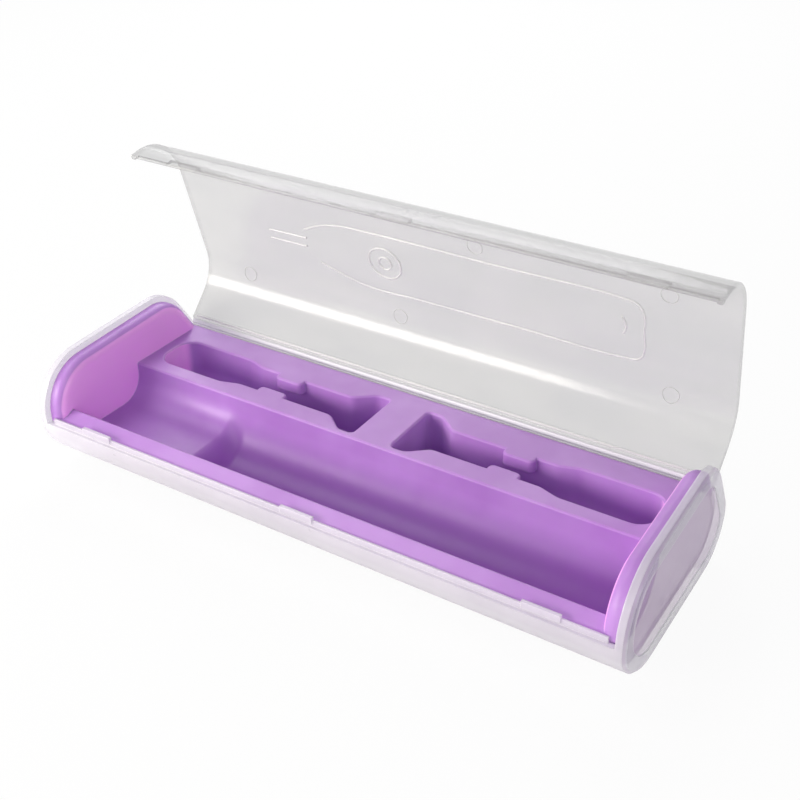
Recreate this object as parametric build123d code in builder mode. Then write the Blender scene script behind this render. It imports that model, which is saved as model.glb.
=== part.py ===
from build123d import *
from math import atan2, cos, degrees, radians, sin, sqrt, tan
import os

# Electric toothbrush travel case: a clear tub and lid joined by a living hinge, and a tray insert.
# X runs along the case, +Y to the hinge at the rear, +Z up. The origin is the middle of the
# underside. All sizes are in millimetres.

# Case section: five corners in the YZ plane, each with its own rounding
front_y = -41.4
foot_y = -28.6
foot_radius = 24.0
bow_z = 15.4
bow_radius = 17.0
brow_z = 41.6
brow_radius = 18.8
crown_y = 23.9
crown_z = 44.7
crown_radius = 17.2
heel_y = 53.7
heel_radius = 14.0

# Tub
case_length = 218.0
base_wall = 1.9
end_rim = 3.2
end_chamfer = 1.0
rim_band = 3.6
panel_recess = 0.5
panel_relief = 0.8
land_depth = 3.0
land_thickness = 1.5

# Parting between tub and lid, a plane that rises from the front to the hinge
hinge_z = 26.1
parting_tilt = 4.1
parting_gap = 0.3
side_gap = 0.3
lap_gap = 0.3

# Front lap: the tongue on the tub, its catches, and the lid's lip outside them
tongue_height = 2.0
tongue_end = 5.6
lip_wall = 0.9
catch_margin = 20.1
catch_length = 12.2
catch_proud = 0.5
catch_foot = 0.9
catch_height = 3.2

# Lid
lid_wall = 1.5
lid_edge_chamfer = 0.4
open_angle = 77.0

# Living hinge
web_thickness = 0.5
web_reach = 0.9
notch_depth = 1.0

# Tray insert
tray_wall = 1.4
tray_gap = 0.2
ledge_z = 26.6
strip_z = 24.4
strip_slope = 24.0
cap_depth = 5.1
cap_round = 3.4
trough_front_y = -33.3
trough_rear_y = -0.7
trough_floor_z = 5.0
trough_radius = 15.4
rest_floor_z = 13.5
rest_radius = 9.4
rest_length = 42.5
step_length = 8.0
step_sections = 6
trough_foot_y = -13.0
foot_margin = 60.5
foot_length = 24.0
foot_width = 7.0

# Brush head pockets, one each side of the middle, widest towards the middle
pocket_y = 14.2
pocket_depth = 16.0
pocket_chamfer = 2.0
divider_width = 15.0
base_length = 5.5
base_half = 12.3
base_round = 1.8
base_floor_chamfer = 1.0
shoulder_length = 7.0
shoulder_round = 4.5
neck_half = 6.5
flare_round = 8.0
tip_length = 29.9
tip_half = 8.8
tip_round = 6.5
tip_floor_round = 5.5
tip_margin = 4.1
rim_chamfer = 0.5
keeper_margin = 20.5
keeper_length = 11.5
keeper_half = 3.6
keeper_depth = 4.5
keeper_round = 2.0

# Places worked out from the sizes above
slope_angle = degrees(atan2(-crown_z, heel_y - crown_y))
hinge_y = crown_y + (heel_y - crown_y) * (crown_z - hinge_z) / crown_z
case_half = case_length / 2
mouth_half = case_half - end_rim
lid_half = mouth_half - side_gap
tongue_half = case_half - tongue_end
catch_x = tongue_half - catch_margin
land_front_y = hinge_y - land_depth
tray_inset = base_wall + tray_gap
cap_end_x = mouth_half - tray_gap
panel_x = cap_end_x - cap_depth
step_x = rest_length - panel_x
tip_end_x = panel_x - tip_margin
tip_x = tip_end_x - tip_length
keeper_x = tip_x - keeper_margin
foot_x = panel_x - foot_margin
reach = case_length


def parting_z(y):
    """Height of the parting plane at a place across the case."""
    return hinge_z + (y - hinge_y) * tan(radians(parting_tilt))


def section(inset=0.0):
    """The case's cross-section, taken in all round by inset."""
    with BuildSketch(mode=Mode.PRIVATE) as outline:
        with BuildLine():
            FilletPolyline(
                (foot_y, 0),
                (front_y, bow_z),
                (front_y, brow_z),
                (crown_y, crown_z),
                (heel_y, 0),
                radius=(foot_radius, bow_radius, brow_radius, crown_radius, heel_radius),
                close=True,
            )
        make_face()
        if inset:
            offset(amount=-inset)
    return outline.sketch_local


def parting_band(low, high, start_y=-reach, end_y=reach):
    """The strip of the YZ plane between two heights above the parting plane."""
    with BuildSketch(mode=Mode.PRIVATE) as band:
        Polygon(
            (start_y, parting_z(start_y) + low),
            (end_y, parting_z(end_y) + low),
            (end_y, parting_z(end_y) + high),
            (start_y, parting_z(start_y) + high),
            align=None,
        )
    return band.sketch_local


def hinge_notch():
    """Room for the hinge web, cut square to the rear slope."""
    with BuildSketch(mode=Mode.PRIVATE) as notch:
        with Locations(Location((hinge_y, hinge_z), slope_angle)):
            Rectangle(2 * web_reach, 2 * notch_depth)
    return notch.sketch_local


# ---------------------------------------------------------------- tub with its end plates
with BuildPart() as base_shell:
    with BuildSketch(Plane.YZ):
        add(section())
    extrude(amount=case_half, both=True)
    chamfer(base_shell.faces().filter_by(Axis.X).edges(), length=end_chamfer)

    # inside of the tub, and the thinner panels that the end rims frame
    with BuildSketch(Plane.YZ):
        add(section(base_wall))
    extrude(amount=mouth_half, both=True, mode=Mode.SUBTRACT)
    with BuildSketch(Plane.YZ):
        add(section(base_wall + rim_band))
    extrude(amount=mouth_half + panel_relief, both=True, mode=Mode.SUBTRACT)
    for side in (-1, 1):
        with BuildSketch(Plane.YZ.offset(side * case_half)):
            add(section(base_wall + rim_band))
        extrude(amount=-side * panel_recess, mode=Mode.SUBTRACT)

    # mouth between the end plates, above the parting plane
    with BuildSketch(Plane.YZ):
        add(parting_band(0, reach))
    extrude(amount=mouth_half, both=True, mode=Mode.SUBTRACT)

    # tongue along the front that the lid's lip laps over
    with BuildSketch(Plane.YZ):
        add(section(lip_wall + lap_gap))
        add(section(base_wall), mode=Mode.SUBTRACT)
        add(parting_band(-tongue_height, tongue_height, end_y=0), mode=Mode.INTERSECT)
    extrude(amount=tongue_half, both=True)

    # three snap catches standing out of the tongue
    for x in (-catch_x, 0, catch_x):
        with BuildSketch(Plane.YZ.offset(x)):
            add(section(lip_wall + lap_gap - catch_proud))
            add(section(base_wall), mode=Mode.SUBTRACT)
            add(parting_band(catch_foot, catch_height, end_y=0), mode=Mode.INTERSECT)
        extrude(amount=catch_length / 2, both=True)

    # land along the rear that carries the hinge web
    with BuildSketch(Plane.YZ):
        add(section())
        add(parting_band(-land_thickness, 0, start_y=land_front_y), mode=Mode.INTERSECT)
    extrude(amount=mouth_half, both=True)
    with BuildSketch(Plane.YZ):
        add(hinge_notch())
    extrude(amount=mouth_half, both=True, mode=Mode.SUBTRACT)
base_shell.part.label = "base_shell"

# ---------------------------------------------------------------- lid, drawn closed
with BuildPart() as lid_shell:
    with BuildSketch(Plane.YZ):
        add(section())
        add(section(lid_wall), mode=Mode.SUBTRACT)
        add(parting_band(parting_gap, reach), mode=Mode.INTERSECT)
    extrude(amount=lid_half, both=True)
    chamfer(lid_shell.faces().filter_by(Axis.X).edges(), length=lid_edge_chamfer)

    # rebate inside the front edge, over the tongue
    with BuildSketch(Plane.YZ):
        add(section(lip_wall))
        add(parting_band(0, tongue_height + parting_gap, end_y=0), mode=Mode.INTERSECT)
    extrude(amount=tongue_half + side_gap, both=True, mode=Mode.SUBTRACT)

    # windows behind the front edge that the catches snap into
    for x in (-catch_x, 0, catch_x):
        with BuildSketch(Plane.YZ.offset(x)):
            add(section(lip_wall - catch_proud))
            add(
                parting_band(catch_foot - lap_gap, catch_height + parting_gap, end_y=0),
                mode=Mode.INTERSECT,
            )
        extrude(amount=catch_length / 2 + side_gap, both=True, mode=Mode.SUBTRACT)

    with BuildSketch(Plane.YZ):
        add(hinge_notch())
    extrude(amount=lid_half, both=True, mode=Mode.SUBTRACT)
hinge_axis = Axis((0, hinge_y, hinge_z), (1, 0, 0))
lid_open = lid_shell.part.rotate(hinge_axis, -open_angle)
lid_open.label = "lid_shell"

# ---------------------------------------------------------------- hinge web, bent with the lid open
# It leaves the tub along the rear slope, turns about the hinge line, and meets the lid's edge.
base_side = radians(slope_angle)
lid_side = radians(slope_angle + 180 - open_angle)
bend_radius = web_reach * tan((lid_side - base_side) / 2)
with BuildPart() as living_hinge:
    with BuildSketch(Plane.YZ):
        with BuildLine():
            FilletPolyline(
                (hinge_y + web_reach * cos(base_side), hinge_z + web_reach * sin(base_side)),
                (hinge_y, hinge_z),
                (hinge_y + web_reach * cos(lid_side), hinge_z + web_reach * sin(lid_side)),
                radius=bend_radius * 0.98,
            )
            offset(amount=web_thickness, side=Side.LEFT)
        make_face()
    extrude(amount=lid_half, both=True)
living_hinge.part.label = "living_hinge"

# ---------------------------------------------------------------- tray insert
def under_deck(depth):
    """The strip of the YZ plane from the top of the tray's deck down by depth."""
    slope_run = trough_front_y - front_y
    top = (
        (land_front_y - tray_gap, ledge_z),
        (trough_rear_y, ledge_z),
        (trough_front_y, strip_z),
        (front_y, strip_z - slope_run * tan(radians(strip_slope))),
    )
    bottom = [(y, z - depth) for y, z in reversed(top)]
    with BuildSketch(mode=Mode.PRIVATE) as band:
        with BuildLine():
            Polyline(*top, *bottom, close=True)
        make_face()
    return band.sketch_local


def trough_section(floor_z, radius, wall):
    """Trough section up to the line between its rims, grown by wall."""
    with BuildSketch(mode=Mode.PRIVATE) as outline:
        Polygon(
            (trough_front_y - wall, strip_z - wall * tan(radians(strip_slope))),
            (trough_front_y - wall, floor_z - wall),
            (trough_rear_y + wall, floor_z - wall),
            (trough_rear_y + wall, ledge_z),
            align=None,
        )
        fillet(outline.vertices().group_by(Axis.Y)[0], radius=radius + wall)
    return outline.sketch_local


def trough_form(wall=0.0):
    """The handle trough grown by wall: its shallow rest, the eased step and its deep length."""
    step_angle = atan2(rest_floor_z - trough_floor_z, step_length)
    start_x = step_x - wall * tan(step_angle / 2)
    with BuildPart() as form:
        for place in range(step_sections + 1):
            share = place / step_sections
            ease = share * share * (3 - 2 * share)
            with BuildSketch(Plane.YZ.offset(start_x + share * step_length)):
                add(
                    trough_section(
                        rest_floor_z + ease * (trough_floor_z - rest_floor_z),
                        rest_radius + ease * (trough_radius - rest_radius),
                        wall,
                    )
                )
        loft()
        for floor_z, radius, low_x, high_x in (
            (rest_floor_z, rest_radius, -panel_x - wall, start_x),
            (trough_floor_z, trough_radius, start_x + step_length, panel_x + wall),
        ):
            with BuildSketch(Plane.YZ.offset(low_x)):
                add(trough_section(floor_z, radius, wall))
            extrude(amount=high_x - low_x)
    return form.part


def pocket(side=1, wall=0.0):
    """Outline of a brush head pocket in plan, grown by wall."""
    base_x = divider_width / 2
    shoulder_x = base_x + base_length
    plan = (
        (base_x, base_half, base_round),
        (shoulder_x, base_half, shoulder_round),
        (shoulder_x + shoulder_length, neck_half, shoulder_round),
        (tip_x - shoulder_length, neck_half, flare_round),
        (tip_x, tip_half, flare_round),
        (tip_end_x, tip_half, tip_round),
    )
    rear = [(side * x, pocket_y + half) for x, half, _ in plan]
    front = [(side * x, pocket_y - half) for x, half, _ in reversed(plan)]
    rounds = [radius for _, _, radius in plan]
    with BuildSketch(mode=Mode.PRIVATE) as outline:
        with BuildLine():
            FilletPolyline(*rear, *front, radius=rounds + rounds[::-1], close=True)
        make_face()
        if wall:
            offset(amount=wall)
    return outline.sketch_local


# The space of a brush head pocket is made in two lengths that meet under its keepers: the socket and
# neck with a nearly square floor, and the tip with a scooped one.
with BuildPart() as stem_space:
    with BuildSketch(Plane.XY.offset(ledge_z)):
        add(pocket())
        with Locations((keeper_x, pocket_y)):
            Rectangle(reach, reach, align=(Align.MIN, Align.CENTER), mode=Mode.SUBTRACT)
    extrude(amount=-pocket_depth)
    stem_floor = stem_space.faces().sort_by(Axis.Z)[0]
    chamfer(stem_floor.edges().sort_by(Axis.X)[:-1], length=base_floor_chamfer)

with BuildPart() as tip_space:
    with BuildSketch(Plane.XY.offset(ledge_z)):
        add(pocket())
        with Locations((keeper_x, pocket_y)):
            Rectangle(reach, reach, align=(Align.MAX, Align.CENTER), mode=Mode.SUBTRACT)
    extrude(amount=-pocket_depth)
    tip_floor = tip_space.faces().sort_by(Axis.Z)[0]
    fillet(tip_floor.edges().sort_by(Axis.X)[1:], radius=tip_floor_round)

with BuildPart() as insert_tray:
    # end caps: a panel across the case, rolled over into a lip that reaches the tub's end plate
    with BuildSketch(Plane.YZ.offset(panel_x)):
        add(section(tray_inset))
        add(parting_band(tray_gap, reach), mode=Mode.INTERSECT)
    extrude(amount=cap_end_x - panel_x)
    cap_edges = insert_tray.faces().sort_by(Axis.X)[0].edges().sort_by(SortBy.LENGTH)
    fillet(cap_edges[:-1], radius=cap_round)
    with BuildSketch(Plane.YZ.offset(cap_end_x)):
        add(section(tray_inset + tray_wall))
    extrude(amount=-(cap_end_x - panel_x - tray_wall), mode=Mode.SUBTRACT)
    cap_inside = insert_tray.faces(Select.LAST).filter_by(Axis.X).sort_by(Axis.X)[0]
    inside_edges = cap_inside.edges().sort_by(SortBy.LENGTH)
    chamfer(inside_edges[:-1], length=(2 - sqrt(2)) * (cap_round - tray_wall))
    mirror(about=Plane.YZ)

    # deck: the level ledge behind the trough and the falling strip in front of it
    with BuildSketch(Plane.YZ):
        add(section(tray_inset))
        add(under_deck(tray_wall), mode=Mode.INTERSECT)
    extrude(amount=panel_x + tray_wall, both=True)

    # outsides of the brush head pockets
    for side in (-1, 1):
        with BuildSketch(Plane.XY.offset(ledge_z)):
            add(pocket(side, tray_wall))
        extrude(amount=-pocket_depth - tray_wall)
        pocket_base = insert_tray.faces(Select.LAST).sort_by(Axis.Z)[0]
        chamfer(pocket_base.edges(), length=pocket_chamfer)

    # outside of the handle trough
    add(trough_form(tray_wall))

    # feet that stand on the tub's floor, under the trough and under the pockets
    for stand_y, top_z in (
        (trough_foot_y, trough_floor_z + tray_wall),
        (pocket_y, ledge_z - pocket_depth),
    ):
        with BuildSketch(Plane.XY.offset(base_wall)):
            with Locations((-foot_x, stand_y), (foot_x, stand_y)):
                Rectangle(foot_length, foot_width)
        extrude(amount=top_z - base_wall)

    # inside of the trough
    add(trough_form(), mode=Mode.SUBTRACT)

    # insides of the pockets
    for space in (stem_space, tip_space):
        add(space.part, mode=Mode.SUBTRACT)
        add(mirror(space.part, about=Plane.YZ, mode=Mode.PRIVATE), mode=Mode.SUBTRACT)

    # keepers: two tabs across each pocket's neck that hold a brush head by its stem
    for side in (-1, 1):
        with BuildSketch(Plane.XY.offset(ledge_z)) as tabs:
            for flank in (-1, 1):
                with Locations((side * keeper_x, pocket_y + flank * keeper_half)):
                    Rectangle(
                        keeper_length,
                        neck_half + tray_wall - keeper_half,
                        align=(Align.CENTER, Align.MIN if flank > 0 else Align.MAX),
                    )
            tab_corners = tabs.vertices().group_by(Axis.Y)
            fillet(tab_corners[1] + tab_corners[2], radius=keeper_round)
        extrude(amount=-keeper_depth)

    # eased rims round the pockets and along both sides of the trough
    ledge = insert_tray.faces().filter_by(Axis.Z).sort_by(Axis.Z)[-1]
    rims = ledge.inner_wires().edges()
    for rim_place in ((0, trough_front_y, strip_z), (0, trough_rear_y, ledge_z)):
        rims += insert_tray.edges().filter_by(Axis.X).sort_by_distance(rim_place)[:1]
    chamfer(rims, length=rim_chamfer)
insert_tray.part.label = "insert_tray"

os.makedirs("parts", exist_ok=True)
export_step(base_shell.part, "parts/base_shell.step")
export_step(living_hinge.part, "parts/living_hinge.step")
export_step(lid_open, "parts/lid_shell.step")
export_step(insert_tray.part, "parts/insert_tray.step")
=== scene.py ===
from math import cos, pi, radians, sin

import bmesh
import bpy
from mathutils import Matrix, Vector
from mathutils.bvhtree import BVHTree


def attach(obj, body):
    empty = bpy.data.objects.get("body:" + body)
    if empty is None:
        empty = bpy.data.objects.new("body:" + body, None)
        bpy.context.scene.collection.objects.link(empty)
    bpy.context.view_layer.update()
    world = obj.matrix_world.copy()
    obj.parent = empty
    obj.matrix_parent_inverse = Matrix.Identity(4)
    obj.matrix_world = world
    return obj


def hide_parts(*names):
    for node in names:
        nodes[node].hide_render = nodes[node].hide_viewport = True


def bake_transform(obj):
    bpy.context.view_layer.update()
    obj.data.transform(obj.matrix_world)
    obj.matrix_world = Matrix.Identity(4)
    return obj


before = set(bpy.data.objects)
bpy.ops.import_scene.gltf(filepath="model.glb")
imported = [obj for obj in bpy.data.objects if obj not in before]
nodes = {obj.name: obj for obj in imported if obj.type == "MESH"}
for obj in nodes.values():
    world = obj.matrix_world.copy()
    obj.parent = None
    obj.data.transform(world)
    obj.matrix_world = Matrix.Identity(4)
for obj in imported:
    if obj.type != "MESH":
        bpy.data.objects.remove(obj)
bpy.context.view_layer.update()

# ------------------------------------------------------------------ studio
# A white sweep under even room light. A low softbox at the front left shades the trough and shows
# as the long bright band in the lid, and panels behind and overhead light the tray's ledges.
camera_place = Vector((0.1824, -0.27125, 0.2448))
camera_turn = 32.04
camera_tip = 31.73
camera_roll = -0.18
camera_lens = 53.64
sensor_width = 36.0
nearest_seen = 0.01

camera_data = bpy.data.cameras.new("studio_camera")
camera_data.lens = camera_lens
camera_data.sensor_width = sensor_width
camera_data.clip_start = nearest_seen
camera = bpy.data.objects.new("studio_camera", camera_data)
bpy.context.scene.collection.objects.link(camera)
camera.matrix_world = (
    Matrix.Translation(camera_place)
    @ Matrix.Rotation(radians(camera_turn), 4, "Z")
    @ Matrix.Rotation(radians(90 - camera_tip), 4, "X")
    @ Matrix.Rotation(radians(camera_roll), 4, "Z")
)
bpy.context.scene.camera = camera
bpy.context.scene.view_settings.view_transform = "Standard"

case_middle = Vector((0.0, 0.0, 0.03))
watts_per_glow = 4  # for each square metre of a lamp's face
plain_light = (1.0, 1.0, 1.0)
warm_light = (1.0, 0.96, 0.90)


def softbox(name, place, width, height, glow, tint=plain_light):
    """A rectangular lamp that faces the case; glow is how bright its face looks, 1 being white."""
    lamp = bpy.data.lights.new(name, "AREA")
    lamp.shape = "RECTANGLE"
    lamp.size = width
    lamp.size_y = height
    lamp.energy = watts_per_glow * width * height * glow
    lamp.color = tint
    holder = bpy.data.objects.new(name, lamp)
    bpy.context.scene.collection.objects.link(holder)
    holder.location = place
    holder.rotation_euler = (case_middle - Vector(place)).to_track_quat("-Z", "Y").to_euler()


softbox(
    "key_softbox", (-0.50, -0.66, 0.26), width=0.62, height=0.29, glow=9.6, tint=warm_light
)
softbox("fill_softbox", (0.48, -0.66, 0.70), width=0.50, height=0.35, glow=1.6)
softbox("side_softbox", (0.85, -0.25, 0.28), width=0.40, height=0.30, glow=3.0)
softbox("rear_panel", (-0.42, 0.70, 0.62), width=0.60, height=0.45, glow=4.0)
softbox("overhead_panel", (-0.42, -0.05, 0.80), width=0.36, height=0.30, glow=3.6)


class Socket:
    """One output of a node, with arithmetic on values that adds Math nodes."""

    def __init__(self, work, socket):
        self.work = work
        self.socket = socket

    def math(self, operation, *values):
        settings = {"operation": operation}
        return self.work.add("ShaderNodeMath", settings, dict(enumerate(values)))

    def __add__(self, other):
        return self.math("ADD", self, other)

    def __sub__(self, other):
        return self.math("SUBTRACT", self, other)

    def __rsub__(self, other):
        return self.math("SUBTRACT", other, self)

    def __mul__(self, other):
        return self.math("MULTIPLY", self, other)

    def __abs__(self):
        return self.math("ABSOLUTE", self)

    __radd__ = __add__
    __rmul__ = __mul__

    def ramp(self, low, high):
        """0 below low, 1 above high and a smooth rise between them."""
        return self.work.add(
            "ShaderNodeMapRange",
            {"interpolation_type": "SMOOTHSTEP"},
            {"Value": self, "From Min": low, "From Max": high},
        )


class NodeWork:
    """A node tree being built: add() makes any node and gives one of its outputs."""

    def __init__(self, tree):
        self.tree = tree
        tree.nodes.clear()

    def add(self, kind, settings=None, sockets=None, outlet=0):
        node = self.tree.nodes.new(kind)
        for name, value in (settings or {}).items():
            setattr(node, name, value)
        for name, value in (sockets or {}).items():
            if isinstance(name, str):
                inlet = next(i for i in node.inputs if i.enabled and i.name == name)
            else:
                inlet = node.inputs[name]
            if isinstance(value, Socket):
                self.tree.links.new(value.socket, inlet)
            else:
                inlet.default_value = value
        return Socket(self, node.outputs[outlet]) if node.outputs else None


def new_finish(name):
    """A new material and the node work that fills it."""
    material = bpy.data.materials.new(name)
    material.use_nodes = True
    return material, NodeWork(material.node_tree)


# The floor is matt white. What the camera sees of it is lifted most of the way to plain white,
# so that only a faint contact shadow is left under the case.
floor_half = 3.0
floor_white = (0.88, 0.88, 0.88, 1.0)
pure_white = (1.0, 1.0, 1.0, 1.0)
shadow_share = 0.07

floor_material, work = new_finish("matt_white_sweep")
seen = work.add("ShaderNodeLightPath", outlet="Is Camera Ray") * (1.0 - shadow_share)
matt = work.add("ShaderNodeBsdfDiffuse", sockets={"Color": floor_white})
glow = work.add("ShaderNodeEmission", sockets={"Color": pure_white, "Strength": 1.0})
sweep = work.add("ShaderNodeMixShader", sockets={0: seen, 1: matt, 2: glow})
work.add("ShaderNodeOutputMaterial", sockets={"Surface": sweep})

floor_corners = ((-1, -1), (1, -1), (1, 1), (-1, 1))
floor_mesh = bpy.data.meshes.new("studio_floor")
floor_mesh.from_pydata(
    [(x * floor_half, y * floor_half, 0) for x, y in floor_corners], [], [(0, 1, 2, 3)]
)
floor_mesh.materials.append(floor_material)
floor = bpy.data.objects.new("studio_floor", floor_mesh)
bpy.context.scene.collection.objects.link(floor)

# The room gives even pale light, and the camera sees it as plain white.
room_light = 0.26
room_tint = (0.97, 0.98, 1.0, 1.0)

world = bpy.data.worlds.new("white_room")
world.use_nodes = True
bpy.context.scene.world = world
work = NodeWork(world.node_tree)
fill = work.add("ShaderNodeBackground", sockets={"Color": room_tint, "Strength": room_light})
backdrop = work.add("ShaderNodeBackground", sockets={"Color": pure_white, "Strength": 1.0})
seen = work.add("ShaderNodeLightPath", outlet="Is Camera Ray")
room = work.add("ShaderNodeMixShader", sockets={0: seen, 1: fill, 2: backdrop})
work.add("ShaderNodeOutputWorld", sockets={"Surface": room})

tub_pale = (0.90, 0.86, 0.95, 1.0)
tub_dark = (0.83, 0.79, 0.88, 1.0)
tub_rim = (0.90, 0.88, 0.93, 1.0)
painted_tray_glow = (0.90, 0.68, 0.94, 1.0)  # painted glow: the purple of the tray behind, as light scattered through the frosted plates, is painted onto their panels

# Where along X the end plates' inner faces and their recessed panels lie.
end_inside = 0.1050
panel_from = 0.1080
panel_to = 0.1086
end_fade = 0.0002
end_thinner = 0.18  # how much less milk the end plates hold
end_on_from, end_on_to = 0.5, 0.95  # how squarely a face has to look along X

# What every polypropylene moulding of this case shares. Scales are in repeats to the metre.
cloud_scale, cloud_detail = 26.0, 3.0
streak_scale, streak_detail = 150.0, 2.0
streak_stretch = (0.25, 1.0, 1.0)
scuff_scale, scuff_detail = 420.0, 3.0
grain_scale, grain_detail = 2600.0, 1.0
edge_radius = 0.0006
edge_samples = 6
edge_from, edge_to = 0.01, 0.20
tone_from, tone_to = 0.35, 0.65
cloud_share, streak_share = 0.6, 0.4
scuff_from, scuff_to = 0.56, 0.70
scuff_rough = 0.08
streak_relief = 2.0
relief_strength = 0.05
relief_depth = 0.0001
plastic_ior = 1.49
milky_sheen = 1.0


def noise(work, place, scale, detail):
    """Cloudy values about 0.5 that vary over the piece."""
    sockets = {"Vector": place, "Scale": scale, "Detail": detail}
    return work.add("ShaderNodeTexNoise", sockets=sockets)


def tinted(work, share, under, over):
    """The colour under, covered by the colour over as far as share says. The node's sockets are
    given by number, because its names stand there once for each kind of data."""
    sockets = {0: share, 6: under, 7: over}
    return work.add("ShaderNodeMix", {"data_type": "RGBA"}, sockets, outlet=2)


def soft_edges(work, radius, low, high):
    """A normal that rounds the edges, and a mask that is 1 on them."""
    rounded = work.add("ShaderNodeBevel", {"samples": edge_samples}, {"Radius": radius})
    flat = work.add("ShaderNodeNewGeometry", outlet="Normal")
    product = {"operation": "DOT_PRODUCT"}
    same_way = work.add("ShaderNodeVectorMath", product, {0: rounded, 1: flat}, outlet="Value")
    return rounded, (1.0 - same_way).ramp(low, high)


def along_case(work, vector):
    """How far a place or direction reaches along the case, to either end."""
    return abs(work.add("ShaderNodeSeparateXYZ", sockets={"Vector": vector}, outlet="X"))


def milky_plastic(
    name, pale, dark, rim, milk, cloud, edge_milk, gloss, gloss_swing, end_plates=False
):
    """Milky polypropylene. milk is how much each skin hides, cloud how much that varies and
    edge_milk how much its edges add. gloss is its roughness and gloss_swing how much it varies.
    end_plates thins the milk of the tub's two end plates and paints the purple glow of the tray
    behind onto their panels, a painted glow."""
    material, work = new_finish(name)
    place = work.add("ShaderNodeTexCoord", outlet="Object")
    flow = work.add("ShaderNodeMapping", sockets={"Vector": place, "Scale": streak_stretch})
    broad = noise(work, place, cloud_scale, cloud_detail)
    streaks = noise(work, flow, streak_scale, streak_detail)
    fine = noise(work, place, scuff_scale, scuff_detail)
    grain = noise(work, place, grain_scale, grain_detail)
    rounded, edge = soft_edges(work, edge_radius, edge_from, edge_to)
    tone = (broad * cloud_share + streaks * streak_share).ramp(tone_from, tone_to)
    colour = tinted(work, tone, dark, pale)
    # The edges take the rim colour: on the lid a painted shade, on the raised lines a painted
    # highlight.
    colour = tinted(work, edge, colour, rim)
    hide = broad * cloud + edge * edge_milk + (milk - cloud / 2)
    if end_plates:
        outward = along_case(work, place)
        facing = along_case(work, work.add("ShaderNodeTexCoord", outlet="Normal"))
        end_on = facing.ramp(end_on_from, end_on_to)
        past_start = outward.ramp(panel_from - end_fade, panel_from)
        past_end = outward.ramp(panel_to, panel_to + end_fade)
        painted_glow_mask = past_start * (1.0 - past_end) * end_on
        hide = hide - outward.ramp(end_inside - end_fade, end_inside) * end_on * end_thinner
        # Painted glow: the panels take the purple of the tray behind them, as light scattered
        # through the frosted plates.
        colour = tinted(work, painted_glow_mask, colour, painted_tray_glow)
    scuffs = fine.ramp(scuff_from, scuff_to)
    rough = fine * gloss_swing + scuffs * scuff_rough + (gloss - gloss_swing / 2)
    relief = work.add(
        "ShaderNodeBump",
        sockets={
            "Strength": relief_strength,
            "Distance": relief_depth,
            "Height": grain + streaks * streak_relief,
            "Normal": rounded,
        },
    )
    shader = work.add(
        "ShaderNodeBsdfPrincipled",
        sockets={
            "Base Color": colour,
            "Roughness": rough,
            "Alpha": hide,
            "Normal": relief,
            "IOR": plastic_ior,
            "Specular IOR Level": milky_sheen,
        },
    )
    work.add("ShaderNodeOutputMaterial", sockets={"Surface": shader})
    return material


def dress(name, material):
    """Gives a CAD node its finish."""
    nodes[name].data.materials.clear()
    nodes[name].data.materials.append(material)


tub_plastic = milky_plastic(
    "milky_tub_plastic",
    tub_pale,
    tub_dark,
    tub_rim,
    milk=0.54,
    cloud=0.06,
    edge_milk=0.14,
    gloss=0.30,
    gloss_swing=0.10,
    end_plates=True,
)
dress("base_shell", tub_plastic)

# ------------------------------------------------------------------ lid
# The upper half of the case: the same polypropylene, 1.5 mm thick, clearer and more polished. The
# outline of a toothbrush handle stands raised on its inner face, with the mould's ejector marks.
lid_pale = (0.48, 0.48, 0.47, 1.0)
lid_dark = (0.38, 0.38, 0.39, 1.0)
# The lid's edges are painted a greyer tone, a painted shade for the grey lines that its edges
# show.
lid_edge_shade = (0.45, 0.45, 0.45, 1.0)

lid_plastic = milky_plastic(
    "milky_lid_plastic",
    lid_pale,
    lid_dark,
    lid_edge_shade,
    milk=0.30,
    cloud=0.05,
    edge_milk=0.30,
    gloss=0.17,
    gloss_swing=0.05,
)
dress("lid_shell", lid_plastic)

# The raised lines are painted whiter than the wall, a painted highlight for the light they catch
# along their crests.
painted_highlight_pale = (0.97, 0.97, 0.95, 1.0)
painted_highlight_dark = (0.90, 0.90, 0.90, 1.0)

painted_highlight_plastic = milky_plastic(
    "milky_plastic_painted_highlight",
    painted_highlight_pale,
    painted_highlight_dark,
    painted_highlight_pale,
    milk=0.55,
    cloud=0.05,
    edge_milk=0.0,
    gloss=0.16,
    gloss_swing=0.05,
)

# Where the lid is at rest. Places on it are given in mm: x along the case and rise up the lid from
# the hinge. Each is cast outwards onto the lid's inner face, from reach_back metres inside it.
mm_per_m = 1000
hinge_line = Vector((0.0, 0.0363, 0.0261))
lid_lean = radians(98.9)
lid_up = Vector((0.0, cos(lid_lean), sin(lid_lean)))
lid_out = Vector((0.0, sin(lid_lean), -cos(lid_lean)))
reach_back = 0.1
lid_mesh = nodes["lid_shell"].data
lid_faces = BVHTree.FromPolygons(
    [v.co for v in lid_mesh.vertices], [p.vertices for p in lid_mesh.polygons]
)


def on_lid(x, rise):
    """The place on the lid's inner face, in metres, for an x and a rise in millimetres."""
    along = Vector((x / mm_per_m, 0, 0))
    start = hinge_line + along + lid_up * (rise / mm_per_m) - lid_out * reach_back
    return lid_faces.ray_cast(start, lid_out)[0]


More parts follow.
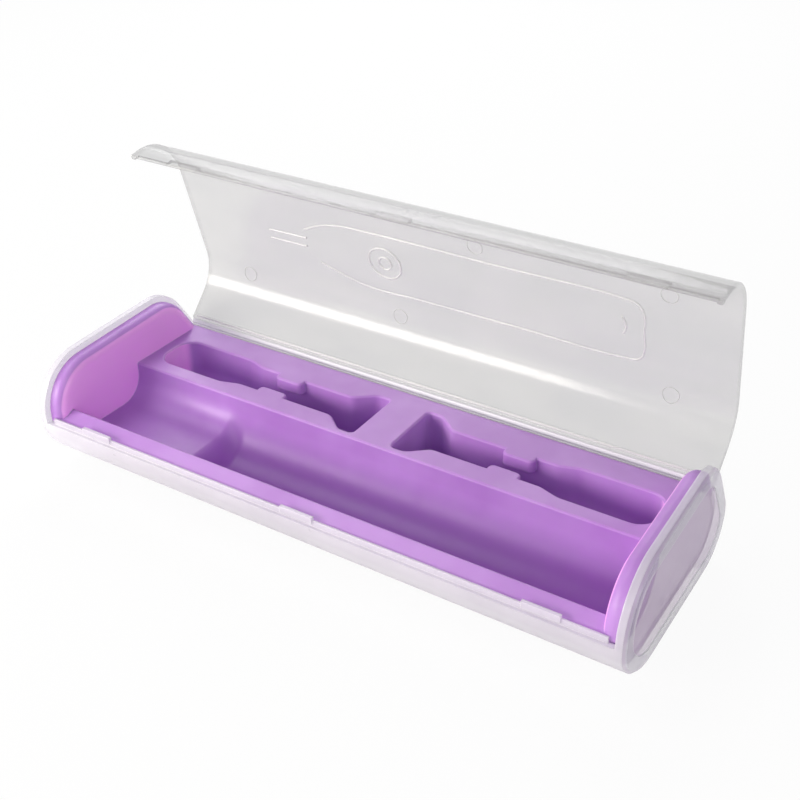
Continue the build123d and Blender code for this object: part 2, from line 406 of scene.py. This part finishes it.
class GeometryWork(NodeWork):
    """A Geometry Nodes tree with one geometry in, one geometry out and named inputs."""

    def __init__(self, name, sizes, material):
        tree = bpy.data.node_groups.new(name, "GeometryNodeTree")
        super().__init__(tree)
        self.material = material
        new_socket = tree.interface.new_socket
        new_socket("Geometry", in_out="INPUT", socket_type="NodeSocketGeometry")
        for label, value in sizes.items():
            inlet = new_socket(label, in_out="INPUT", socket_type="NodeSocketFloat")
            inlet.default_value = value
        new_socket("Geometry", in_out="OUTPUT", socket_type="NodeSocketGeometry")
        group = self.add("NodeGroupInput").socket.node
        self.given = {o.name: Socket(self, o) for o in group.outputs if o.name}

    def end(self, geometry):
        """Makes the last geometry real, gives it its material and joins it to the output."""
        real = self.add("GeometryNodeRealizeInstances", sockets={0: geometry})
        sockets = {"Geometry": real, "Material": self.material}
        dressed = self.add("GeometryNodeSetMaterial", sockets=sockets)
        self.add("NodeGroupOutput", sockets={"Geometry": dressed})
        return self.tree


def made_real(name, source, tree, sizes):
    """Runs a Geometry Nodes tree on a curve and gives its result as a plain mesh piece."""
    carrier = bpy.data.objects.new(name + "_source", source)
    bpy.context.scene.collection.objects.link(carrier)
    modifier = carrier.modifiers.new("shape", "NODES")
    modifier.node_group = tree
    for item in tree.interface.items_tree:
        if item.item_type == "SOCKET" and item.in_out == "INPUT" and item.name in sizes:
            modifier[item.identifier] = sizes[item.name]
    bpy.context.view_layer.update()
    ready = carrier.evaluated_get(bpy.context.evaluated_depsgraph_get())
    mesh = bpy.data.meshes.new_from_object(ready)
    mesh.name = name
    bpy.data.objects.remove(carrier)
    piece = bpy.data.objects.new(name, mesh)
    bpy.context.scene.collection.objects.link(piece)
    return piece


def bead_path(name, lines, rings=()):
    """One curve of smooth splines through lists of places: open lines, then closed rings."""
    curve = bpy.data.curves.new(name, "CURVE")
    curve.dimensions = "3D"
    for number, places in enumerate([*lines, *rings]):
        spline = curve.splines.new("BEZIER")
        spline.bezier_points.add(len(places) - 1)
        for point, place in zip(spline.bezier_points, places):
            point.co = place
            point.handle_left_type = point.handle_right_type = "AUTO"
        spline.use_cyclic_u = number >= len(lines)
    return curve


# A raised bead: a round wire half sunk into the wall along a path.
bead_step = 0.0007
bead_sides = 10
usual_bead = 0.0003

work = GeometryWork("moulded_bead", {"Bead Radius": usual_bead}, painted_highlight_plastic)
spaced = work.add(
    "GeometryNodeResampleCurve",
    {"mode": "LENGTH"},
    {"Curve": work.given["Geometry"], "Length": bead_step},
)
round_wire = work.add(
    "GeometryNodeCurvePrimitiveCircle",
    {"mode": "RADIUS"},
    {"Resolution": bead_sides, "Radius": work.given["Bead Radius"]},
)
swept = work.add(
    "GeometryNodeCurveToMesh",
    sockets={"Curve": spaced, "Profile Curve": round_wire, "Fill Caps": True},
)
bead_tree = work.end(swept)

# The outline of the handle: its body, two neck lines, a button of two rings and a short arc.
handle_body = (
    (-52.6, 47.6), (-46.0, 50.8), (-36.5, 53.2), (-27.3, 53.6), (23.0, 53.5), (68.0, 53.5),
    (73.0, 52.3), (74.9, 48.6), (74.9, 41.4), (74.9, 34.0), (73.2, 29.9), (67.5, 28.8),
    (31.0, 28.9), (-7.7, 28.9), (-30.0, 28.8), (-40.5, 31.4), (-48.5, 34.2),
)
neck_lines = (
    ((-69.0, 43.5), (-60.7, 43.7), (-52.5, 43.8)),
    ((-69.0, 39.8), (-60.8, 39.9), (-53.2, 40.0)),
)
end_arc = ((67.6, 46.0), (68.9, 42.7), (68.0, 39.0))
button_middle = (-19.9, 41.6)
button_radii = (6.4, 2.6)
outline_bead = 0.00038
ring_steps = 16


def ring_on_lid(middle, radius):
    """Places round a circle on the lid's inner face."""
    turns = [2 * pi * n / ring_steps for n in range(ring_steps)]
    return [on_lid(middle[0] + radius * cos(t), middle[1] + radius * sin(t)) for t in turns]


handle_path = bead_path(
    "handle_outline",
    [[on_lid(*point) for point in line] for line in (handle_body, *neck_lines, end_arc)],
    [ring_on_lid(button_middle, radius) for radius in button_radii],
)
outline = made_real("lid_handle_outline", handle_path, bead_tree, {"Bead Radius": outline_bead})
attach(outline, "lid")

# Ejector marks: thin round witness rings in two rows on the lid's inner face.
mark_radius = 2.8
mark_places = ((-84.4, 18.6), (-17.1, 18.9), (84.1, 18.6), (17.3, 59.0), (82.9, 59.0))
mark_bead = 0.00012

mark_path = bead_path("ejector_marks", [], [ring_on_lid(p, mark_radius) for p in mark_places])
marks = made_real("lid_ejector_marks", mark_path, bead_tree, {"Bead Radius": mark_bead})
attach(marks, "lid")

# ------------------------------------------------------------------ living hinge
# A 0.5 mm web moulded in one with tub and lid, bowed inwards, with a round ridge beside it on
# the lid that stiffens the edge and a fine line on the tub's land.
web_middle = Vector((0.0, 0.0377, 0.0260))
web_radius = 0.00135
web_half = 0.00025
web_from, web_to = 218.0, 134.0  # degrees round web_middle, from the tub's edge to the lid's
web_steps = 14
web_end = 0.1054
web_lengths = 44

web_mesh = bpy.data.meshes.new("hinge_web")
shape = bmesh.new()
rings = []
for length in range(web_lengths + 1):
    x = -web_end + 2 * web_end * length / web_lengths
    inner, outer = [], []
    for step in range(web_steps + 1):
        turn = radians(web_from + (web_to - web_from) * step / web_steps)
        for side, radius in ((inner, web_radius + web_half), (outer, web_radius - web_half)):
            y = web_middle.y + radius * cos(turn)
            z = web_middle.z + radius * sin(turn)
            side.append(shape.verts.new((x, y, z)))
    rings.append(inner + outer[::-1])
for one, other in zip(rings, rings[1:]):
    for n in range(len(one)):
        m = (n + 1) % len(one)
        shape.faces.new((one[n], one[m], other[m], other[n]))
shape.faces.new(rings[0][::-1])
shape.faces.new(rings[-1])
bmesh.ops.recalc_face_normals(shape, faces=shape.faces)
shape.to_mesh(web_mesh)
shape.free()
web_mesh.materials.append(tub_plastic)
for face in web_mesh.polygons:
    face.use_smooth = True
web = bpy.data.objects.new("hinge_web", web_mesh)
bpy.context.scene.collection.objects.link(web)
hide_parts("living_hinge")
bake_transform(web)

line_reach = 103.5
line_places = (-line_reach, 0, line_reach)
ridge_rise = 2.6
ridge_bead = 0.00044

ridge_path = bead_path("hinge_ridge", [[on_lid(x, ridge_rise) for x in line_places]])
ridge = made_real("lid_hinge_ridge", ridge_path, bead_tree, {"Bead Radius": ridge_bead})
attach(ridge, "lid")

land_back = 0.0343
land_height = 0.02596
land_bead = 0.00018

land_path = bead_path("land_line", [[(x / mm_per_m, land_back, land_height) for x in line_places]])
land = made_real("tub_land_line", land_path, bead_tree, {"Bead Radius": land_bead})
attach(land, "base")

# ------------------------------------------------------------------ tray insert
# The purple tray that drops into the tub: one moulding in satin polypropylene, 1.4 mm thick, with
# some light passing through it.
# Its colour holds painted light: a painted glow on its end caps, a painted highlight along its
# rims and painted shade on its deep floors.
tray_light = (0.53, 0.28, 0.70, 1.0)
tray_deep = (0.46, 0.22, 0.62, 1.0)
# A painted highlight: the rims are painted lighter, for the light that gathers in them.
tray_rim_painted_highlight = (0.69, 0.51, 0.84, 1.0)
# A painted glow: the end caps' panels are painted brighter magenta, for the light that shines
# through them.
tray_cap_painted_glow = (0.96, 0.45, 0.99, 1.0)
# Painted shade: the deep floors are painted darker, for the light that does not reach them.
tray_floor_painted_shade = (0.30, 0.088, 0.46, 1.0)
rim_highlight_share = 0.55
floor_shade_share = 0.75
floor_low = 0.006
floor_high = 0.019

# Where along X the end caps' panels lie, and how squarely a face of them looks along X.
cap_from = 0.0905
cap_to = 0.1012
cap_fade_in = 0.0025
cap_fade_out = 0.0004
cap_on_from, cap_on_to = 0.55, 0.9

tray_cloud_scale = 30.0
tray_scuff_scale = 400.0
tray_grain_scale = 3000.0
tray_edge_radius = 0.0007
tray_edge_to = 0.22
tray_gloss = 0.34
tray_gloss_swing = 0.10
tray_scuff_rough = 0.06
tray_relief = 0.15
tray_sheen = 0.5
light_share = 0.30
light_reach = (0.0030, 0.0012, 0.0030)

tray_plastic, work = new_finish("purple_tray_plastic")
place = work.add("ShaderNodeTexCoord", outlet="Object")
broad = noise(work, place, tray_cloud_scale, cloud_detail)
fine = noise(work, place, tray_scuff_scale, scuff_detail)
grain = noise(work, place, tray_grain_scale, grain_detail)
rounded, edge = soft_edges(work, tray_edge_radius, edge_from, tray_edge_to)
colour = tinted(work, broad.ramp(tone_from, tone_to), tray_deep, tray_light)
# Painted shade: the colour is painted darker towards the floors, below floor_high.
height = work.add("ShaderNodeSeparateXYZ", sockets={"Vector": place}, outlet="Z")
painted_floor_shade = 1.0 - height.ramp(floor_low, floor_high)
colour = tinted(work, painted_floor_shade * floor_shade_share, colour, tray_floor_painted_shade)
outward = along_case(work, place)
facing = along_case(work, work.add("ShaderNodeTexCoord", outlet="Normal"))
# Painted glow: the end caps' panels are painted brighter magenta, away from their edges.
past_start = outward.ramp(cap_from - cap_fade_in, cap_from)
past_end = outward.ramp(cap_to, cap_to + cap_fade_out)
painted_cap_glow = past_start * (1.0 - past_end) * facing.ramp(cap_on_from, cap_on_to) * (1.0 - edge)
colour = tinted(work, painted_cap_glow, colour, tray_cap_painted_glow)
# Painted highlight: the rims are painted lighter.
colour = tinted(work, edge * rim_highlight_share, colour, tray_rim_painted_highlight)
scuffs = fine.ramp(scuff_from, scuff_to)
relief = work.add(
    "ShaderNodeBump",
    sockets={
        "Strength": tray_relief,
        "Distance": relief_depth,
        "Height": grain,
        "Normal": rounded,
    },
)
shader = work.add(
    "ShaderNodeBsdfPrincipled",
    sockets={
        "Base Color": colour,
        "Roughness": fine * tray_gloss_swing + scuffs * tray_scuff_rough + tray_gloss,
        "Normal": relief,
        "IOR": plastic_ior,
        "Specular IOR Level": tray_sheen,
        "Subsurface Weight": light_share,
        "Subsurface Radius": light_reach,
        "Subsurface Scale": 1.0,
    },
)
work.add("ShaderNodeOutputMaterial", sockets={"Surface": shader})
dress("insert_tray", tray_plastic)
